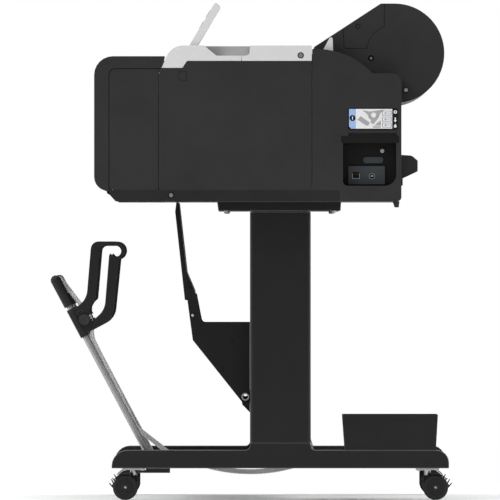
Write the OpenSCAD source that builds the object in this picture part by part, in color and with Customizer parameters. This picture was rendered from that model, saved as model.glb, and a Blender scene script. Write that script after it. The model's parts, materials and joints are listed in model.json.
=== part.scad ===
// Large format plotter on a castered stand, with a fabric basket in front.
// +X is the machine's right, the front faces -Y and +Z is up.
// The origin is on the floor, at the middle of the machine's footprint.

/* [Body] */
// Overall width of the machine
body_w = 1289; // [1287:1:1291]
// Height of the body's underside above the floor
body_z = 639; // [638:1:641]
// Depth of each side cover, from its outer face inwards
cover_d = 44.5; // [44:0.5:45]
// Width of the ink tank box at the right
ink_w = 214.5; // [213:0.5:216]
// Width of the maintenance box at the left
maint_w = 149.5; // [148:0.5:151]
// Wall thickness of the moulded covers
wall = 3; // [2.5:0.5:3]

/* [Operation panel] */
// Angle of the display above the deck at rest
panel_tilt = 59; // [50:1:70]
// Width of the panel
panel_w = 176; // [170:1:178]
// Length of the panel from its hinge
panel_l = 118; // [114:1:118]

/* [Media] */
// Width of the widest media roll
media_w = 914; // [610:1:914]
// Radius of the roll on the spindle
roll_r = 62; // [40:1:75]

/* [Stand] */
// Distance from the middle of the machine to the middle of a leg
leg_x = 535; // [534:1:536]
// Width of a leg
leg_w = 70; // [68:1:70]
// Depth of a leg's column
column_d = 130; // [120:1:130]
// Height of the top of a foot
foot_top = 107; // [106:1:108]
// Radius of a caster wheel
wheel_r = 27; // [26.5:0.1:27]

/* [Basket] */
// Angle of the folding pipe frame above the floor
frame_angle = 62; // [61:0.5:62.5]
// Radius of the frame pipe
pipe_r = 7; // [6:0.5:7]
// Half the width of the cloth
cloth_half = 440; // [400:1:445]
// Thickness of the cloth's solid
cloth_t = 3; // [2:0.5:4]

/* [Hidden] */
$fn = 48;
side_x = body_w / 2;
inner_x = side_x - cover_d;
ink_x = side_x - ink_w;
maint_x = side_x - maint_w;
// Heights above the underside of the body
sill_h = 24.5;
// Side screws: head radius, bore radius and places
screw_r = 4.6;
screw_bore = 6.8;
sill_screw = [-168.6, 13.4];
cap_screw = [108.4, 311.8];
box_top = 310;
deck_h = 333;
cap_h = 300;
// Front hinge of the ink and maintenance covers
box_hinge = [-302.8, 18.6];
// Spindle, roll cover pin, feed roller, release shaft and pinch bar centres
spindle = [309, 316.5];
cover_pin = [333.5, 238];
feed = [60, 211];
release = [165, 261];
pinch = [100, 250];
cover_r = 106.5;
// Operation panel: lower edge, pin centre, side faces and thickness
panel_hinge = [-121, 316.7];
pin_z = 6;
panel_pin = panel_hinge + pin_z * [-sin(panel_tilt), cos(panel_tilt)];
panel_x1 = side_x - 8.5;
panel_x0 = panel_x1 - panel_w;
panel_t = 16;
// Running clearance of a shaft in its hole
run = 0.05;
frame_x = 565;
frame_t = 6;
// Stand
foot_z = 68;
plate_low = 64.2;
plate_z = 619;
leg_in = leg_x - leg_w / 2;
leg_out = leg_x + leg_w / 2;
swivel_front = -249.2;
swivel_rear = 379.7;
trail = 17.5;
// Basket
frame_pivot = [-209.6, 81.3];
pipe_x = 484;
pipe_l = 440;
rear_rod = [-9.8, 220.9];
guide_pivot = [-129.6, 440.6];
stacker = [-354.9, 385.7];
rod_r = 6.8;
// Colours
black = [0.17, 0.17, 0.17];
dark = [0.11, 0.11, 0.11];
light = [0.8, 0.8, 0.81];
steel = [0.7, 0.7, 0.71];
glass = [0.07, 0.08, 0.09];
paper = [0.96, 0.96, 0.94];

// ---- Outline helpers; an outline point is [y, z] or [y, z, corner radius] ----

function unit(v) = v / norm(v);
function left(v) = [-v[1], v[0]] / norm(v);
function xy(p) = [p[0], p[1]];
function ray(a) = [cos(a), sin(a)];
function arc(c, r, a0, a1, n = 14) = [for (i = [0:n]) c + r * ray(a0 + (a1 - a0) * i / n)];
function sharp(pts) = [for (p = pts) [p[0], p[1], 0]];

// A corner at b between a and c, rounded with radius r
function corner(a, b, c, r, n = 6) =
    r == 0 ? [b] :
    let (
        u = unit(a - b),
        v = unit(c - b),
        half = acos(u * v) / 2,
        centre = b + unit(u + v) * r / sin(half),
        p = b + u * r / tan(half) - centre,
        q = b + v * r / tan(half) - centre,
        start = atan2(p[1], p[0]),
        sweep = (atan2(q[1], q[0]) - start + 540) % 360 - 180
    )
    [for (i = [0:n]) centre + r * ray(start + sweep * i / n)];

// A closed outline with its corners rounded
function rounded(pts) = let (n = len(pts)) [
    for (i = [0:n - 1])
        each corner(xy(pts[(i + n - 1) % n]), xy(pts[i]), xy(pts[(i + 1) % n]), pts[i][2])
];

// An open path with its inner corners rounded
function route(pts) = [
    xy(pts[0]),
    for (i = [1:len(pts) - 2]) each corner(xy(pts[i - 1]), xy(pts[i]), xy(pts[i + 1]), pts[i][2]),
    xy(pts[len(pts) - 1])
];

// The path moved d to its left
function beside(path, d) = let (last = len(path) - 1) [
    for (i = [0:last])
        let (
            a = left(path[max(i, 1)] - path[max(i, 1) - 1]),
            b = left(path[min(i, last - 1) + 1] - path[min(i, last - 1)])
        )
        path[i] + d * (a + b) / (1 + a * b)
];
function backwards(pts) = [for (i = [len(pts) - 1:-1:0]) pts[i]];
// A strip of width d along the left side of a path
function strip(path, d) = concat(path, backwards(beside(path, d)));

// An anticlockwise outline moved d inwards
function shrink(pts, d) = let (n = len(pts)) [
    for (i = [0:n - 1])
        let (
            p = xy(pts[i]),
            s = p - xy(pts[(i + n - 1) % n]),
            t = xy(pts[(i + 1) % n]) - p,
            a = left(s),
            b = left(t),
            q = p + d * (a + b) / (1 + a * b),
            grow = s[0] * t[1] - s[1] * t[0] > 0 ? -d : d
        )
        [q[0], q[1], pts[i][2] == 0 ? 0 : max(pts[i][2] + grow, 0.5)]
];

// ---- Placing helpers ----

// Extrudes a [y, z] outline from x0 to x1
module along_x(x0, x1) translate([x0, 0, 0]) rotate([90, 0, 90]) linear_extrude(x1 - x0) children();
module rod_x(x0, x1, c, r) translate([x0, c[0], c[1]]) rotate([0, 90, 0]) cylinder(h = x1 - x0, r = r);
module block(a, b) translate(a) cube(b - a);
module on_body() translate([0, 0, body_z]) children();
module mirrored() mirror([1, 0, 0]) children();
module both() {
    children();
    mirrored() children();
}
// A straight bar of width w between two [y, z] points
module bar(a, b, w) polygon(strip([a - left(b - a) * w / 2, b - left(b - a) * w / 2], w));

// ---- Casing ----

// Right-hand outlines; heights are above the underside of the body
side_outline = [
    [-191.5, sill_h, 4], [132, sill_h, 0], [132, cap_h - 0.5, 0], [-135, cap_h - 0.5, 5],
    [-144.5, 284.5, 5], [-190, 284.5, 2], [-195, 260, 10], [-195, sill_h + 6, 5]
];
cap_outline = [
    [-189, 285, 0], [-144, 285, 5], [-134.5, cap_h, 5], [132, cap_h, 0], [132, deck_h, 0],
    [-167.8, deck_h, 37]
];
bay_outline = [[-99.4, deck_h + 1, 0], [-72, 311, 4], [-0.4, 311, 9], [-0.4, deck_h + 1, 0]];
rear_outline = concat(
    [[133, sill_h, 0], [192.5, sill_h, 0], [192.5, 0, 0], [323.5, 0, 9], [323.5, 273, 19]],
    sharp(arc([141, 160], 165.5, 43.1, 92.8))
);
recess_outline = [[198.5, 33, 10], [312.5, 33, 24], [312.5, 124.5, 1], [198.5, 124.5, 1]];
sill_outline = [[-288, 0, 4], [192.5, 0, 0], [192.5, sill_h, 0], [-299.5, sill_h, 0], [-299.5, 19, 4]];

// Tray that carries everything, with the sills that show below the side covers
module base_tray() color(black) on_body() {
    difference() {
        union() {
            block([-inner_x, -186, 0], [inner_x, 316, sill_h]);
            along_x(ink_x, side_x) polygon(rounded(sill_outline));
            along_x(-side_x, -maint_x) polygon(rounded(sill_outline));
        }
        block([-side_x + wall, -183, wall], [side_x - wall, 189.5, sill_h + 1]);
        block([-inner_x + wall, 180, wall], [inner_x - wall, 313, sill_h + 1]);
        block([ink_x + wall, -284, wall], [side_x - wall, -180, sill_h + 1]);
        block([-side_x + wall, -284, wall], [-maint_x - wall, -180, sill_h + 1]);
        both() block([side_x - 0.8, -190.8, 0], [side_x + 1, -189.6, sill_h]);
        both() rod_x(side_x - 2, side_x + 1, sill_screw, screw_bore);
    }
    box_hinge_pins(ink_x, side_x);
    box_hinge_pins(-side_x, -maint_x);
}

module box_hinge_pins(x0, x1) for (s = [0, 1]) {
    x = s == 0 ? x0 + 16 : x1 - 20;
    along_x(x, x + 4) union() {
        translate(box_hinge) circle(2.7);
        polygon([[-302.8, 15.9], [-298, 12], [-291, 4], [-291, 21.3], [-302.8, 21.3]]);
    }
    rod_x(x - (s == 0 ? 0 : 8), x + (s == 0 ? 12 : 4), box_hinge, 1.5);
}

// Inner steel plates that hold the rollers, the spindle and the roll cover pins
module side_frames() color(steel) on_body() both() {
    difference() {
        along_x(frame_x, frame_x + frame_t) union() {
            polygon([
                [-150, wall], [296, wall], [296, 190], [262, 225], [228, 292], [120, 292], [96, 270],
                [-120, 270], [-150, 240]
            ]);
            bar([235, 262], spindle, 34);
            bar(spindle, cover_pin, 15);
            translate(spindle) circle(22);
            translate(cover_pin) circle(11);
        }
        rod_x(0, side_x, spindle, 12 + run);
        block([0, spindle[0] - 12 - run, spindle[1]], [side_x, spindle[0] + 12 + run, deck_h + 20]);
        rod_x(0, side_x, feed, 8 + run);
        rod_x(0, side_x, release, 5 + run);
        rod_x(0, side_x, pinch, 4 + run);
    }
    rod_x(frame_x + frame_t, inner_x + 1.6, cover_pin, 4);
}

module platen() color(dark) on_body() along_x(-maint_x + 2, ink_x - 2) polygon([
    [-125, 200], [-121, 200], [-121, 222], [36, 222], [36, 200], [40, 200], [40, 226], [-125, 226]
]);

module carriage_rail() color(steel) on_body() difference() {
    block([-frame_x, 15, 256], [frame_x, 60, 296]);
    block([-frame_x - 1, 18, 259], [frame_x + 1, 57, 293]);
}

module side_cover() difference() {
    along_x(inner_x, side_x) polygon(rounded(side_outline));
    along_x(inner_x - 1, side_x - wall) polygon(rounded(shrink(side_outline, wall)));
    difference() {
        block([side_x - 1.5, -152.5, 257.5], [side_x + 1, -134.5, 278.5]);
        block([side_x - 2, -151, 259], [side_x + 2, -136, 277]);
    }
}
module right_side_cover() color(black) on_body() side_cover();
module left_side_cover() color(black) on_body() mirrored() side_cover();

// Rear side cover; the children are shapes left standing in its hollow
rear_x = inner_x + 4;
module rear_cover_shell() {
    difference() {
        along_x(rear_x, side_x) polygon(rounded(rear_outline));
        difference() {
            along_x(rear_x - 1, side_x - wall) polygon(rounded(shrink(rear_outline, wall)));
            children();
        }
    }
}
// The right one has the recess for the connectors, with a bar and a finger slot above it,
// a hook for their cables underneath and the slot for the release lever
module right_rear_cover() color(black) on_body() {
    difference() {
        rear_cover_shell() {
            along_x(rear_x, side_x) polygon(rounded(shrink(recess_outline, -wall)));
            block([side_x - 9, 190, 120], [side_x, 330, 150]);
        }
        along_x(rear_x + wall, side_x + 1) polygon(rounded(recess_outline));
        block([609, 150, 270], [635, 216, deck_h + 1]);
        block([side_x - 1, 194.5, 124.5], [side_x + 1, 318.5, 140.2]);
        block([side_x - 5.5, 210, 140.2], [side_x + 1, 313.6, 146.8]);
    }
    along_x(rear_x, side_x - 2) polygon([[304.5, 0], [319.4, 0], [317.7, -13], [309, -13]]);
}
module left_rear_cover() color(black) on_body() mirrored() rear_cover_shell();

module top_cap(x0) difference() {
    along_x(x0, side_x) polygon(rounded(cap_outline));
    along_x(x0 + wall, side_x - wall) polygon([
        [-174, 280], [-162, 306], [-148, 322], [-144, 307.5], [3, 307.5], [3, deck_h - wall],
        [129, deck_h - wall], [129, 290]
    ]);
}
// The right cap has the bay that the operation panel folds into, and the pin that it turns on
module right_top_cap() color(light) on_body() {
    difference() {
        top_cap(ink_x);
        along_x(panel_x0 - 4, side_x + 1) polygon(rounded(bay_outline));
        block([panel_x0 - 4, -141, 306], [panel_x1 + 3, -60, deck_h + 1]);
        rod_x(side_x - 2, side_x + 1, cap_screw, screw_bore);
        block([side_x - 2, -18.8, cap_h - 1], [side_x + 1, -17.5, 311]);
    }
    rod_x(panel_x0 - 6, panel_x1 + 5, panel_pin, 3);
}
module left_top_cap() color(light) on_body() mirrored() difference() {
    top_cap(maint_x);
    rod_x(side_x - 2, side_x + 1, cap_screw, screw_bore);
}

// Front wall with the sloping paper exit guide at its top
module front_panel() color(black) on_body() along_x(-maint_x + 1, ink_x - 1) polygon(strip(
    route([[-192, 1, 0], [-192, 196, 12], [-180, 216, 12], [-130, 224, 0]]), -wall
));

// Rear wall, roll trough, feed guide and rear hooks
module rear_panel() color(black) on_body() {
    along_x(-inner_x - 2, inner_x + 2) polygon([[317, sill_h], [322, sill_h], [322, 201], [317, 201]]);
    along_x(-552, 552) polygon(strip(concat(
        [[112, 268], [150, 304]], arc(spindle, 93, 180, 252), [[318.5, 198]]
    ), wall));
    both() along_x(566, inner_x) polygon(rounded([
        [320, 46, 0], [353, 61.5, 2], [358.5, 64, 3], [358.5, 87, 3], [346, 98, 14], [320, 99.5, 0]
    ]));
}

// Box at each end of the front: a fixed housing and an L-shaped front and top cover
module box_housing(x0) {
    difference() {
        along_x(x0, side_x) polygon(rounded([
            [-300.5, sill_h, 10], [-196, sill_h, 0], [-196, 282.5, 0], [-300.5, 282.5, 12]
        ]));
        along_x(x0 + wall, side_x - wall) polygon([
            [-310, sill_h + wall], [-199, sill_h + wall], [-199, 290], [-310, 290]
        ]);
    }
}
module ink_bay() color(black) on_body() box_housing(ink_x);
module maintenance_bay() color(black) on_body() mirrored() box_housing(maint_x);

module box_cover(x0) {
    difference() {
        along_x(x0, side_x) polygon(rounded([
            [-333, 22, 30], [-302, 22, 0], [-302, 284, 13], [-190.4, 284, 0], [-182.2, box_top, 0],
            [-333, box_top, 40]
        ]));
        along_x(x0 + wall, side_x - wall) polygon(rounded([
            [-330, 25, 27], [-100, 25, 0], [-100, box_top - wall, 0], [-330, box_top - wall, 37]
        ]));
    }
    difference() {
        along_x(x0 + 20.3, side_x - 20.3) union() {
            translate(box_hinge) circle(3);
            polygon([[-305.8, 18.6], [-302.8, 15.6], [-302, 23], [-305.8, 23]]);
        }
        rod_x(x0, side_x, box_hinge, 1.5 + run);
    }
}
module ink_cover() color(black) on_body() box_cover(ink_x);
module maintenance_cover() color(black) on_body() mirrored() box_cover(maint_x);

// Five tanks side by side, each with a grip ridge on its front
module ink_tanks() color(dark) on_body() for (i = [0:4]) {
    pitch = (ink_w - 2 * wall - 6) / 5;
    x = ink_x + wall + 3 + pitch * i;
    along_x(x + 1.5, x + pitch - 1.5) polygon(rounded([
        [-292, 60, 3], [-206, 60, 3], [-206, 225, 3], [-280, 225, 6], [-280, 205, 2], [-292, 200, 3]
    ]));
}

module port_panel() color([0.2, 0.21, 0.22]) on_body() {
    x = rear_x + wall;
    difference() {
        block([x, 210, 36.5], [x + 6, 288.5, 75.4]);
        block([x + 1, 218, 48], [x + 7, 235, 62.5]);
        rod_x(x + 1, x + 7, [260.5, 54], 7.5);
    }
    along_x(x, x + 3) polygon(rounded([[242, 81.5, 6], [284.7, 81.5, 6], [284.7, 95, 6], [242, 95, 6]]));
}

// Network socket and serial socket in the port panel, mains inlet in the rear wall
module sockets() color([0.1, 0.1, 0.11]) on_body() {
    x = rear_x + wall + 1;
    difference() {
        block([x, 218.3, 48.3], [x + 4.4, 234.7, 62.2]);
        block([x + 1, 220, 50], [x + 5, 233, 60]);
    }
    difference() {
        rod_x(x, x + 4.4, [260.5, 54], 7.2);
        rod_x(x + 1, x + 5, [260.5, 54], 5);
    }
    translate([520, 0, 0]) difference() {
        block([-15, 322, 34], [15, 327, 56]);
        block([-12, 323.5, 37], [12, 328, 53]);
    }
}

// Screw heads sunk in the sills, the caps and the port recess
module side_screws() color(steel) on_body() {
    both() for (p = [sill_screw, cap_screw]) rod_x(side_x - 2, side_x - 0.3, p, screw_r);
    rod_x(rear_x + wall, rear_x + wall + 6, [282.6, 108], screw_r);
}

// Main board with its parts, and the power supply beside it
module electronics() color([0.1, 0.3, 0.18]) on_body() {
    block([250, 80, 10], [520, 260, 12]);
    for (p = [[270, 100, 40], [340, 110, 60], [430, 100, 40], [290, 190, 50], [380, 200, 70]])
        block([p[0], p[1], 12], [p[0] + p[2], p[1] + 35, 20]);
    block([-420, 90, wall], [-220, 250, 70]);
}

// ---- Opening parts of the body ----

cover_path = route([[131, deck_h, 0], [-167.8, deck_h, 37], [-190, 284, 20], [-192.5, 250, 0]]);
window = [[-430, -136], [372, -48]];
module top_cover() color(light) on_body() difference() {
    along_x(-maint_x + 1.5, ink_x - 1.5) union() {
        polygon(strip(cover_path, wall));
        translate([131, deck_h - wall / 2]) circle(wall / 2);
    }
    block([window[0][0], window[0][1], deck_h - 5], [window[1][0], window[1][1], deck_h + 1]);
}
module top_window() color(glass) on_body() {
    a = window[0];
    b = window[1];
    block([a[0], a[1], deck_h - wall], [b[0], b[1], deck_h - 0.4]);
}

// Draws in the panel's own axes: y along the panel from its lower edge, z out of the display
module on_panel()
    on_body() translate([0, panel_hinge[0], panel_hinge[1]]) rotate([panel_tilt, 0, 0]) children();
button_y = [88, 60];
button_x = side_x - 34;
module panel_shell() color(light) {
    on_panel() difference() {
        along_x(panel_x0, panel_x1) polygon(rounded([
            [4, 0.4, 3], [panel_l - 3, 0.4, 5], [panel_l, panel_t, 4], [-4, panel_t, 6], [-6, 8, 4]
        ]));
        along_x(panel_x0 + 2.5, panel_x1 - 2.5) polygon([
            [10, 2.9], [panel_l - 7, 2.9], [panel_l - 5, panel_t - 2.5], [10, panel_t - 2.5]
        ]);
        block([panel_x0 + 10, 28, 12], [panel_x0 + 118, 104, panel_t + 1]);
        for (y = button_y) translate([button_x, y, 12]) cylinder(h = 6, r = 9 + run);
        rod_x(panel_x0 - 1, panel_x1 + 1, [0, pin_z], 3 + run);
    }
}
module panel_display() color(glass) on_panel()
    block([panel_x0 + 10, 28, 13], [panel_x0 + 118, 104, panel_t - 0.2]);
module round_button(y) on_panel() translate([button_x, y, 13.2]) cylinder(h = 3.6, r = 9);
module power_button() color(dark) round_button(button_y[0]);
module stop_button() color(dark) round_button(button_y[1]);

module release_lever() color(light) on_body() {
    along_x(613, 631) polygon(rounded([
        [157, 256, 4], [173, 256, 4], [177.5, 322, 6], [176.5, 349.5, 3], [170.5, 350.5, 3], [157, 325, 4]
    ]));
    rod_x(556, 613, release, 5);
    rod_x(631, 636, release, 5);
}

// Bar on the left and right frames that carries the pinch rollers
module pinch_rollers() color([0.3, 0.3, 0.3]) on_body() {
    rod_x(-frame_x - frame_t, frame_x + frame_t, pinch, 4);
    for (i = [0:8]) {
        x = -480 + 108 * i;
        along_x(x + 12, x + 18) polygon([[56, 232], [64, 232], [104, 247], [104, 254], [96, 254]]);
        rod_x(x, x + 30, [60, 234.8], 8);
    }
}

module feed_roller() color(dark) on_body() {
    rod_x(-590, frame_x + frame_t + 2, feed, 8);
    rod_x(-490, 426, feed, 15);
    rod_x(-580, -577, feed, 34);
}

roll_outline = concat(
    [
        [137, 330, 0], [141, 318, 0], [225, 285, 0], [250, 262, 0], [298, 262, 10], [311, 246, 6],
        [311, 211.6, 0]
    ],
    sharp(arc(spindle, cover_r, -79, 90, 32)), [[279.6, 423, 8]]
);
// Seam round the access panel on each end of the roll cover
roll_seam = concat([[198.5, 372], [200.6, 325.5]], arc(spindle, 60, 171.3, 110.6), [[287.8, 424]]);
module roll_cover() color(black) on_body() difference() {
    along_x(-inner_x + 0.5, inner_x - 0.5) polygon(rounded(roll_outline));
    along_x(-inner_x + 9, inner_x - 9) polygon(concat(
        [[100, 150], [321.6, 150]], arc(spindle, cover_r - wall, -83, 90, 32),
        [[281, 420], [138.6, 327.5], [100, 302.3]]
    ));
    both() along_x(inner_x - 3, side_x) polygon(strip(roll_seam, 1.4));
    rod_x(-side_x, side_x, cover_pin, 4 + run);
    both() rod_x(inner_x - 3, side_x, [231, 374], 5.5);
    both() rod_x(inner_x - 3, side_x, [258.8, 306], 7.5);
}

roll_x0 = -media_w / 2 - 32;
roll_x1 = media_w / 2 - 32;
module spindle_shaft() color(dark) on_body() {
    rod_x(-576, 576, spindle, 12);
    rod_x(roll_x1, roll_x1 + 8, spindle, 82);
    rod_x(roll_x1 + 8, roll_x1 + 30, spindle, 34);
    rod_x(roll_x0 - 8, roll_x0, spindle, 82);
    rod_x(roll_x0 - 30, roll_x0 - 8, spindle, 34);
}
module media_roll() color(paper) on_body() difference() {
    rod_x(roll_x0, roll_x1, spindle, roll_r);
    rod_x(roll_x0 - 1, roll_x1 + 1, spindle, 12);
}

module carriage() color(dark) on_body() difference() {
    along_x(432, 558) polygon(rounded([
        [-95, 240, 0], [-86, 230, 0], [5, 230, 0], [12, 243, 0], [46, 243, 0], [46, 255, 0], [14, 255, 0],
        [14, 290, 0], [-95, 290, 12]
    ]));
    block([440, -86, 262], [550, -4, 291]);
}

// ---- Stand ----

foot_outline = [
    [-296, foot_z, 2], [425.7, foot_z, 2], [425.7, foot_top, 27], [column_d, foot_top, 10],
    [column_d, 124, 0], [0, 124, 0], [0, foot_top, 10], [-296, foot_top, 34]
];
module column(z0, z1, inset) translate([0, 0, z0]) linear_extrude(z1 - z0) polygon(rounded([
    [leg_in + inset, inset, 6], [leg_out - inset, inset, 6],
    [leg_out - inset, column_d - inset, 6], [leg_in + inset, column_d - inset, 6]
]));
// Leg of one weldment: top plate, column and foot, open underneath
module leg() difference() {
    union() {
        along_x(leg_in, leg_out) polygon([
            [-67.8, plate_z], [193.8, plate_z], [195, body_z], [-70.4, body_z]
        ]);
        column(foot_top, plate_z - 3, 0);
        column(plate_z - 3, plate_z, 1);
        along_x(leg_in, leg_out) polygon(rounded(foot_outline));
        along_x(leg_x - 20, leg_x + 20) polygon([
            [-240, 58], [-171, 58], [-171, foot_z], [-223, foot_z], [-223, plate_low], [-240, plate_low]
        ]);
        rod_x(478, leg_in, frame_pivot, 5);
    }
    block([leg_in + wall, wall, 100], [leg_out - wall, column_d - wall, body_z - wall]);
    block([leg_in + wall, -262, foot_z + wall], [leg_out - wall, 398, foot_top - wall]);
    block([leg_in + wall, -150, 50], [leg_out - wall, 290, foot_top - wall]);
    block([leg_out - 0.5, -1, 121.6], [leg_out + 1, column_d + 1, 122.4]);
}
module right_leg() color(black) leg();
module left_leg() color(black) mirrored() leg();

module cross_stay() color(black) difference() {
    block([-leg_in, 35, 300], [leg_in, 95, 380]);
    block([-leg_in - 1, 38, 303], [leg_in + 1, 92, 377]);
}

// ---- Casters; out is 1 where the wheel trails to the rear and -1 to the front ----

module at_caster(side, y) translate([side * leg_x, y, 0]) children();
// An outline in the caster's own plane, y measured outwards from the wheel centre
module caster_plane(out, x0, x1)
    translate([0, out * trail, 0]) mirror([0, out < 0 ? 1 : 0, 0]) along_x(x0, x1) children();
lever_pin = [26.2, 30];

module caster_plate() {
    translate([-25, -25, plate_low]) cube([50, 50, foot_z - plate_low]);
    translate([0, 0, 52.6]) cylinder(h = plate_low - 52.6, r = 7.2);
    translate([0, 0, 34]) cylinder(h = 19, r = 4.5);
}
module caster_plates() color(steel) for (side = [-1, 1]) {
    at_caster(side, swivel_front) caster_plate();
    at_caster(side, swivel_rear) caster_plate();
}
module caster_hood(out) difference() {
    union() {
        caster_plane(out, -7.5, 7.5) union() {
            translate([0, wheel_r]) circle(23.5);
            polygon([[-27, 24], [-18, 12], [0, 14], [0, 50], [-10, 52.3], [-27, 52.3]]);
        }
        caster_plane(out, -24, 24) polygon(concat(
            arc([0, wheel_r], wheel_r + 3, 35, 106), backwards(arc([0, wheel_r], wheel_r + 1, 35, 106))
        ));
        caster_plane(out, -7.5, 7.5) polygon([[0, 45], [10, 48], [10, 54.5], [0, 57], [-7, 55], [-7, 45]]);
        for (s = [-1, 1]) caster_plane(out, s * 5.9 - 1.6, s * 5.9 + 1.6) union() {
            translate(lever_pin) circle(3.2);
            bar([18, 28], lever_pin, 6);
        }
    }
    translate([0, 0, 33]) cylinder(h = 40, r = 4.5 + run);
    caster_plane(out, -30, 30) translate([0, wheel_r]) circle(axle_r + run);
    caster_plane(out, -30, 30) translate(lever_pin) circle(1.5 + run);
}
// Two wheels and their axle
axle_r = 3;
module wheel_pair(out) translate([0, out * trail, wheel_r]) {
    rod_x(-24, 24, [0, 0], axle_r);
    for (s = [-1, 1]) translate([s * 16.3, 0, 0]) difference() {
        rod_x(-7.7, 7.7, [0, 0], wheel_r);
        rod_x(-8, 8, [0, 0], axle_r + run);
        difference() {
            rod_x(s > 0 ? 5.2 : -8.2, s > 0 ? 8.2 : -5.2, [0, 0], 19);
            rod_x(-9, 9, [0, 0], 8);
        }
    }
}
module brake_lever(out) {
    caster_plane(out, -4, 4) polygon([
        [25, 26.5], [28.2, 26.5], [35.2, 35.6], [33.8, 37], [28.5, 31.5], [26.8, 35.5], [31, 43.8],
        [29.6, 45], [24.6, 37.6]
    ]);
    caster_plane(out, -7.4, 7.4) translate(lever_pin) circle(1.5);
}

module caster_hood_front_right() color(dark) at_caster(1, swivel_front) caster_hood(-1);
module caster_hood_front_left() color(dark) at_caster(-1, swivel_front) caster_hood(-1);
module caster_hood_rear_right() color(dark) at_caster(1, swivel_rear) caster_hood(1);
module caster_hood_rear_left() color(dark) at_caster(-1, swivel_rear) caster_hood(1);
module wheels_front_right() color(dark) at_caster(1, swivel_front) wheel_pair(-1);
module wheels_front_left() color(dark) at_caster(-1, swivel_front) wheel_pair(-1);
module wheels_rear_right() color(dark) at_caster(1, swivel_rear) wheel_pair(1);
module wheels_rear_left() color(dark) at_caster(-1, swivel_rear) wheel_pair(1);
module brake_front_right() color(dark) at_caster(1, swivel_front) brake_lever(-1);
module brake_front_left() color(dark) at_caster(-1, swivel_front) brake_lever(-1);
module brake_rear_right() color(dark) at_caster(1, swivel_rear) brake_lever(1);
module brake_rear_left() color(dark) at_caster(-1, swivel_rear) brake_lever(1);

// ---- Basket ----

// Draws in the folding frame's own axes: z along the pipe from its pivot
module on_frame() translate([0, frame_pivot[0], frame_pivot[1]]) rotate([90 - frame_angle, 0, 0]) children();

module basket_frame() color(steel) on_frame() {
    both() difference() {
        union() {
            translate([pipe_x, 0, 0]) cylinder(h = pipe_l, r = pipe_r);
            rod_x(pipe_x - 6, pipe_x + 6, [0, 0], 11);
        }
        rod_x(pipe_x - 10, pipe_x + 10, [0, 0], 5 + run);
    }
    rod_x(-pipe_x, pipe_x, [0, pipe_l], pipe_r);
}

module frame_sleeves() color(dark) on_frame() both() difference() {
    union() {
        translate([pipe_x, 0, pipe_l - 62]) cylinder(h = 62, r = 11);
        translate([pipe_x, 0, pipe_l]) sphere(11);
        rod_x(pipe_x - 40, pipe_x, [0, pipe_l], 11);
    }
    translate([pipe_x, 0, pipe_l - 70]) cylinder(h = 70, r = pipe_r + run);
    rod_x(pipe_x - 50, pipe_x, [0, pipe_l], pipe_r + run);
    translate([pipe_x, 0, pipe_l]) sphere(pipe_r + run);
}

arm_outline = concat(
    [[-375.4, 410.9, 0], [-350.5, 426.8, 42], [-340, 553.5, 17]],
    sharp(arc([-288.5, 533.5], 20, 90, -68)),
    [[-294, 386, 40], [-346.9, 357.9, 0], [-361.5, 349.3, 0], [-389.5, 402.6, 0]]
);
channel_outline = concat(
    [[-321.5, 543.8, 11]],
    sharp(arc([-287.5, 532.3], 11.5, 90, -145)),
    [
        [-298.3, 528.3, 0], [-302, 523.6, 0], [-311.5, 406.4, 42], [-338, 383, 0], [-338.6, 391, 0],
        [-345.2, 402, 2], [-344.6, 411.8, 3], [-339.5, 421.2, 4], [-331.5, 429, 3]
    ]
);
// Hooked arms clamped on the pipes; the rod lies in the notch below their channel
module basket_arms() color(dark) both() difference() {
    union() {
        along_x(pipe_x - 9, pipe_x + 9) polygon(rounded(arm_outline));
        on_frame() translate([pipe_x, 0, 305]) cylinder(h = 66, r = 10.5);
    }
    along_x(pipe_x - 20, pipe_x + 20) polygon(rounded(channel_outline));
    on_frame() translate([pipe_x, 0, 200]) cylinder(h = 200, r = pipe_r + run);
    rod_x(pipe_x - 20, pipe_x + 20, stacker, rod_r + run);
    along_x(pipe_x - 20, pipe_x + 20) bar(stacker, stacker + 20 * ray(25), 9);
}
module stacker_rod() color(steel) {
    rod_x(-pipe_x - 9.5, pipe_x + 9.5, stacker, rod_r);
    both() rod_x(pipe_x + 9.5, pipe_x + 15, stacker, 12.6);
}

module rear_cloth_rod() color(steel) difference() {
    rod_x(-522, 522, rear_rod, 8.4);
    rod_x(-523, 523, rear_rod, 5.4);
}

bracket_outline = [
    [-135.8, 440, 0], [-122.6, 342, 4], [-17.5, 210, 0], [-16.5, 204, 0], [-0.2, 187, 0], [-0.2, 378, 0],
    [-104, 378, 8], [-116, 440, 0]
];
module guide_brackets() color(dark) both() difference() {
    union() {
        along_x(512, 518) union() {
            polygon(rounded(bracket_outline));
            translate(guide_pivot) circle(11);
        }
        block([502, -5, 200], [512, -0.2, 370]);
        rod_x(502, 512, guide_pivot, 5);
    }
    rod_x(500, 530, rear_rod, 8.4 + run);
}

// Swinging panel that guides the sheet from the exit into the basket
module paper_guide() color(dark) {
    difference() {
        union() {
            along_x(-498, 498) polygon(rounded([
                [-139.7, 428, 0], [-130, 427, 0], [-118.6, 446, 3], [-136, 486.6, 20], [-152.9, 636.6, 0],
                [-158, 636.6, 0], [-160.4, 617, 4]
            ]));
            both() along_x(498, 508) translate(guide_pivot) circle(11);
        }
        along_x(-470, 470) polygon([
            [-136.5, 432], [-131, 431], [-121, 446.5], [-139, 484], [-154, 600], [-156, 600], [-140, 470]
        ]);
        both() rod_x(490, 512, guide_pivot, 5 + run);
    }
}

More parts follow.
